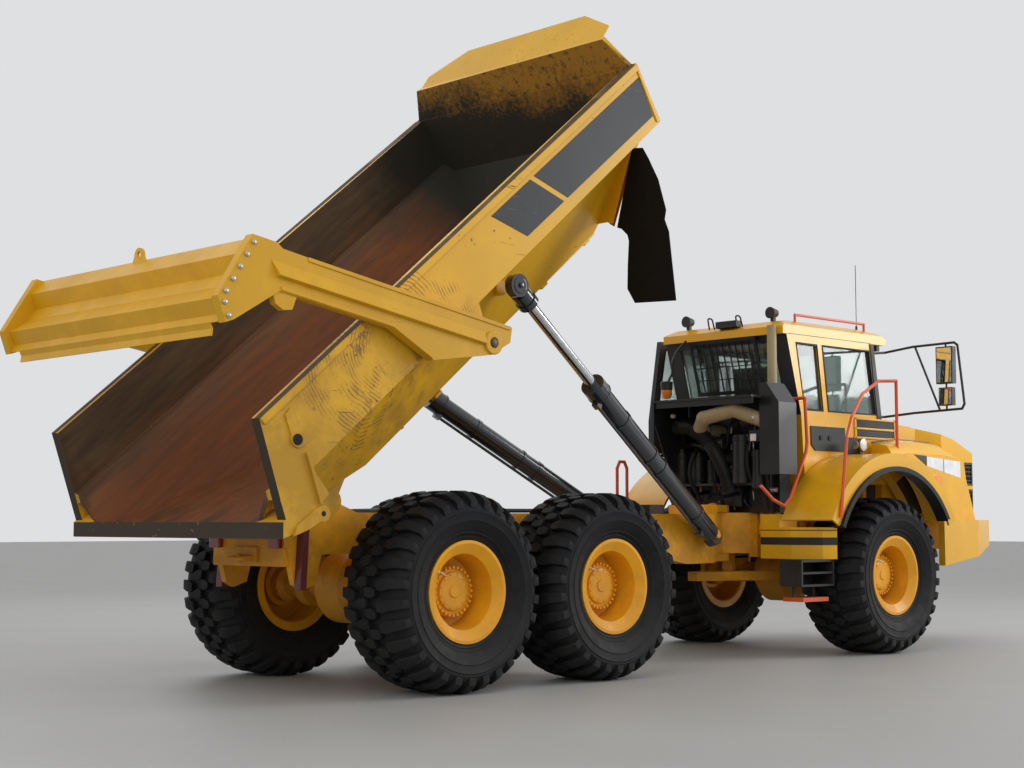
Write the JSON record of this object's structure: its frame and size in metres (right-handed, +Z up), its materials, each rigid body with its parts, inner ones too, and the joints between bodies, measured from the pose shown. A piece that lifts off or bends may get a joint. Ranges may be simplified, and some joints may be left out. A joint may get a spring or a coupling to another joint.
{
  "type": "articulated dump truck",
  "caption": "Articulated dump truck on six large wheels with a hinged tipping bed raised by two cylinders, a wire-lifted tailgate and a cab with an opening door.",
  "frame": {"origin": "on the ground, midway along and across the truck's bounding box", "axes": "+X forward, +Y to the truck's left, +Z up"},
  "size_m": [10.975, 3.4474, 5.8815],
  "materials": {
    "yellow_paint": "gloss",
    "dark_paint": "satin",
    "grey_iron": "matt",
    "rod_chrome": "polished",
    "tyre_rubber": "matt",
    "flap_rubber": "matt",
    "window_glass": "clear",
    "mirror_dark": "matt",
    "seat_trim": "matt",
    "lamp_glass": "gloss",
    "rail_red": "gloss",
    "duct_beige": "satin"
  },
  "bodies": {
    "rear_chassis": {"rear_frame": "yellow_paint", "rear_axles": "yellow_paint", "bogie_beams": "yellow_paint"},
    "hitch": {"hitch": "yellow_paint"},
    "front_unit": {"front_frame": "yellow_paint", "front_axle": "yellow_paint", "engine": "grey_iron", "hood": "yellow_paint", "grille": "dark_paint", "bumper": "yellow_paint", "fenders": "yellow_paint", "fender_lips": "flap_rubber", "cab_shell": "yellow_paint", "cab_roof": "yellow_paint", "cab_glass": "window_glass", "cab_interior": "seat_trim", "rear_guard": "dark_paint", "rear_deck": "dark_paint", "air_ducts": "duct_beige", "side_tanks": "dark_paint", "steps": "dark_paint", "handrails": "rail_red", "mirrors": "mirror_dark", "lamps": "lamp_glass"},
    "cab_door": {"cab_door": "dark_paint", "door_glass": "window_glass"},
    "bed": {"bed": "yellow_paint", "mud_flaps": "flap_rubber"},
    "tailgate": {"tailgate": "yellow_paint"},
    "hoist_barrel_left": {"hoist_barrel_left": "dark_paint"},
    "hoist_rod_left": {"hoist_rod_left": "rod_chrome"},
    "hoist_barrel_right": {"hoist_barrel_right": "dark_paint"},
    "hoist_rod_right": {"hoist_rod_right": "rod_chrome"},
    "wheel_rear_left": {"tyre_rear_left": "tyre_rubber", "rim_rear_left": "yellow_paint"},
    "wheel_rear_right": {"tyre_rear_right": "tyre_rubber", "rim_rear_right": "yellow_paint"},
    "wheel_middle_left": {"tyre_middle_left": "tyre_rubber", "rim_middle_left": "yellow_paint"},
    "wheel_middle_right": {"tyre_middle_right": "tyre_rubber", "rim_middle_right": "yellow_paint"},
    "wheel_front_left": {"tyre_front_left": "tyre_rubber", "rim_front_left": "yellow_paint"},
    "wheel_front_right": {"tyre_front_right": "tyre_rubber", "rim_front_right": "yellow_paint"}
  },
  "joints": [
    {"name": "frame_roll", "type": "hinge", "parent": "rear_chassis", "child": "hitch", "pos_m": [1.25, 0, 1.17], "axis": [1, 0, 0], "range_deg": [-15, 15]},
    {"name": "steering", "type": "hinge", "parent": "hitch", "child": "front_unit", "pos_m": [1.585, 0, 1.17], "axis": [0, 0, 1], "range_deg": [-45, 45]},
    {"name": "cab_door", "type": "hinge", "parent": "front_unit", "child": "cab_door", "pos_m": [2.63, 0.9, 2.26], "axis": [0, 0, 1], "range_deg": [-176, 0]},
    {"name": "dump", "type": "hinge", "parent": "rear_chassis", "child": "bed", "pos_m": [-3.744, 0, 1.483], "axis": [0, -1, 0], "range_deg": [-39.7, 30.3]},
    {"name": "tailgate", "type": "hinge", "parent": "bed", "child": "tailgate", "pos_m": [-2.93599, 0, 2.714], "axis": [0, 1, 0], "range_deg": [-39.8, 30.4]},
    {"name": "hoist_barrel_left", "type": "hinge", "parent": "rear_chassis", "child": "hoist_barrel_left", "pos_m": [0.93, 0.55, 1.19], "axis": [0.1113, 0.9477, 0.2992], "range_deg": [-13.5, 10.3]},
    {"name": "hoist_rod_left", "type": "slide", "parent": "hoist_barrel_left", "child": "hoist_rod_left", "axis": [-0.8433, 0.1967, 0.5001], "range_m": [-1.175, 0.897]},
    {"name": "hoist_barrel_right", "type": "hinge", "parent": "rear_chassis", "child": "hoist_barrel_right", "pos_m": [0.93, -0.55, 1.19], "axis": [-0.1113, 0.9477, -0.2992], "range_deg": [-13.5, 10.3]},
    {"name": "hoist_rod_right", "type": "slide", "parent": "hoist_barrel_right", "child": "hoist_rod_right", "axis": [-0.8433, -0.1967, 0.5001], "range_m": [-1.175, 0.897]},
    {"name": "wheel_rear_left", "type": "hinge", "parent": "rear_chassis", "child": "wheel_rear_left", "pos_m": [-3.05, 1.108, 0.785], "axis": [0, 1, 0], "continuous": true},
    {"name": "wheel_rear_right", "type": "hinge", "parent": "rear_chassis", "child": "wheel_rear_right", "pos_m": [-3.05, -1.108, 0.785], "axis": [0, 1, 0], "continuous": true},
    {"name": "wheel_middle_left", "type": "hinge", "parent": "rear_chassis", "child": "wheel_middle_left", "pos_m": [-1.38, 1.108, 0.785], "axis": [0, 1, 0], "continuous": true},
    {"name": "wheel_middle_right", "type": "hinge", "parent": "rear_chassis", "child": "wheel_middle_right", "pos_m": [-1.38, -1.108, 0.785], "axis": [0, 1, 0], "continuous": true},
    {"name": "wheel_front_left", "type": "hinge", "parent": "front_unit", "child": "wheel_front_left", "pos_m": [2.795, 1.108, 0.785], "axis": [0, 1, 0], "continuous": true},
    {"name": "wheel_front_right", "type": "hinge", "parent": "front_unit", "child": "wheel_front_right", "pos_m": [2.795, -1.108, 0.785], "axis": [0, 1, 0], "continuous": true}
  ],
  "couplings": [
    {"joint": "tailgate", "follows": "dump", "ratio": 1},
    {"joint": "hoist_barrel_left", "follows": "dump", "ratio": 0.3376},
    {"joint": "hoist_rod_left", "follows": "dump", "m_per_rad": 1.694},
    {"joint": "hoist_barrel_right", "follows": "dump", "ratio": 0.3376},
    {"joint": "hoist_rod_right", "follows": "dump", "m_per_rad": 1.694}
  ]
}
